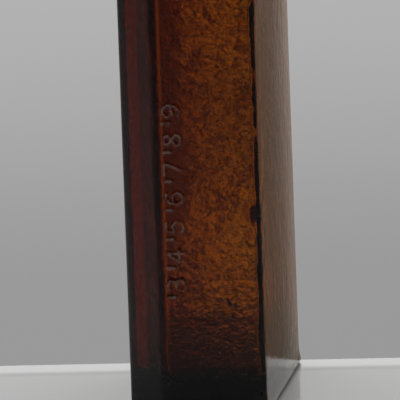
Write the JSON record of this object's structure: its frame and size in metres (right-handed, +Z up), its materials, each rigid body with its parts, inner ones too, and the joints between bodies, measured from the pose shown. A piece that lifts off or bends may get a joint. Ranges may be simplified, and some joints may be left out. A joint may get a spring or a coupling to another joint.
{
  "type": "apothecary bottle",
  "caption": "Rectangular amber glass medicine bottle with bevelled back corners, a raised dose scale, a collared neck and a tapered cork stopper that lifts out.",
  "frame": {"origin": "centre of the rectangle round the base, on the plane that the bottle stands on", "axes": "+Z up along the neck; X along the broad faces; -Y the flat label face with sharp corners, +Y the back with bevelled corners; -X the narrow side with the dose scale"},
  "size_m": [0.0648, 0.038, 0.173],
  "materials": {
    "amber_glass": "glossy, seedy old moulded glass, dark amber",
    "cork": "matt aged cork with dark pores",
    "residue": "dull, crusted"
  },
  "bodies": {
    "bottle": {"glass_bottle": "amber_glass", "dried_residue": "residue"},
    "stopper": {"cork_stopper": "cork"}
  },
  "joints": [
    {"name": "stopper_pull", "type": "slide", "parent": "bottle", "child": "stopper", "axis": [0, 0, 1], "range_m": [0, 0.05]}
  ]
}
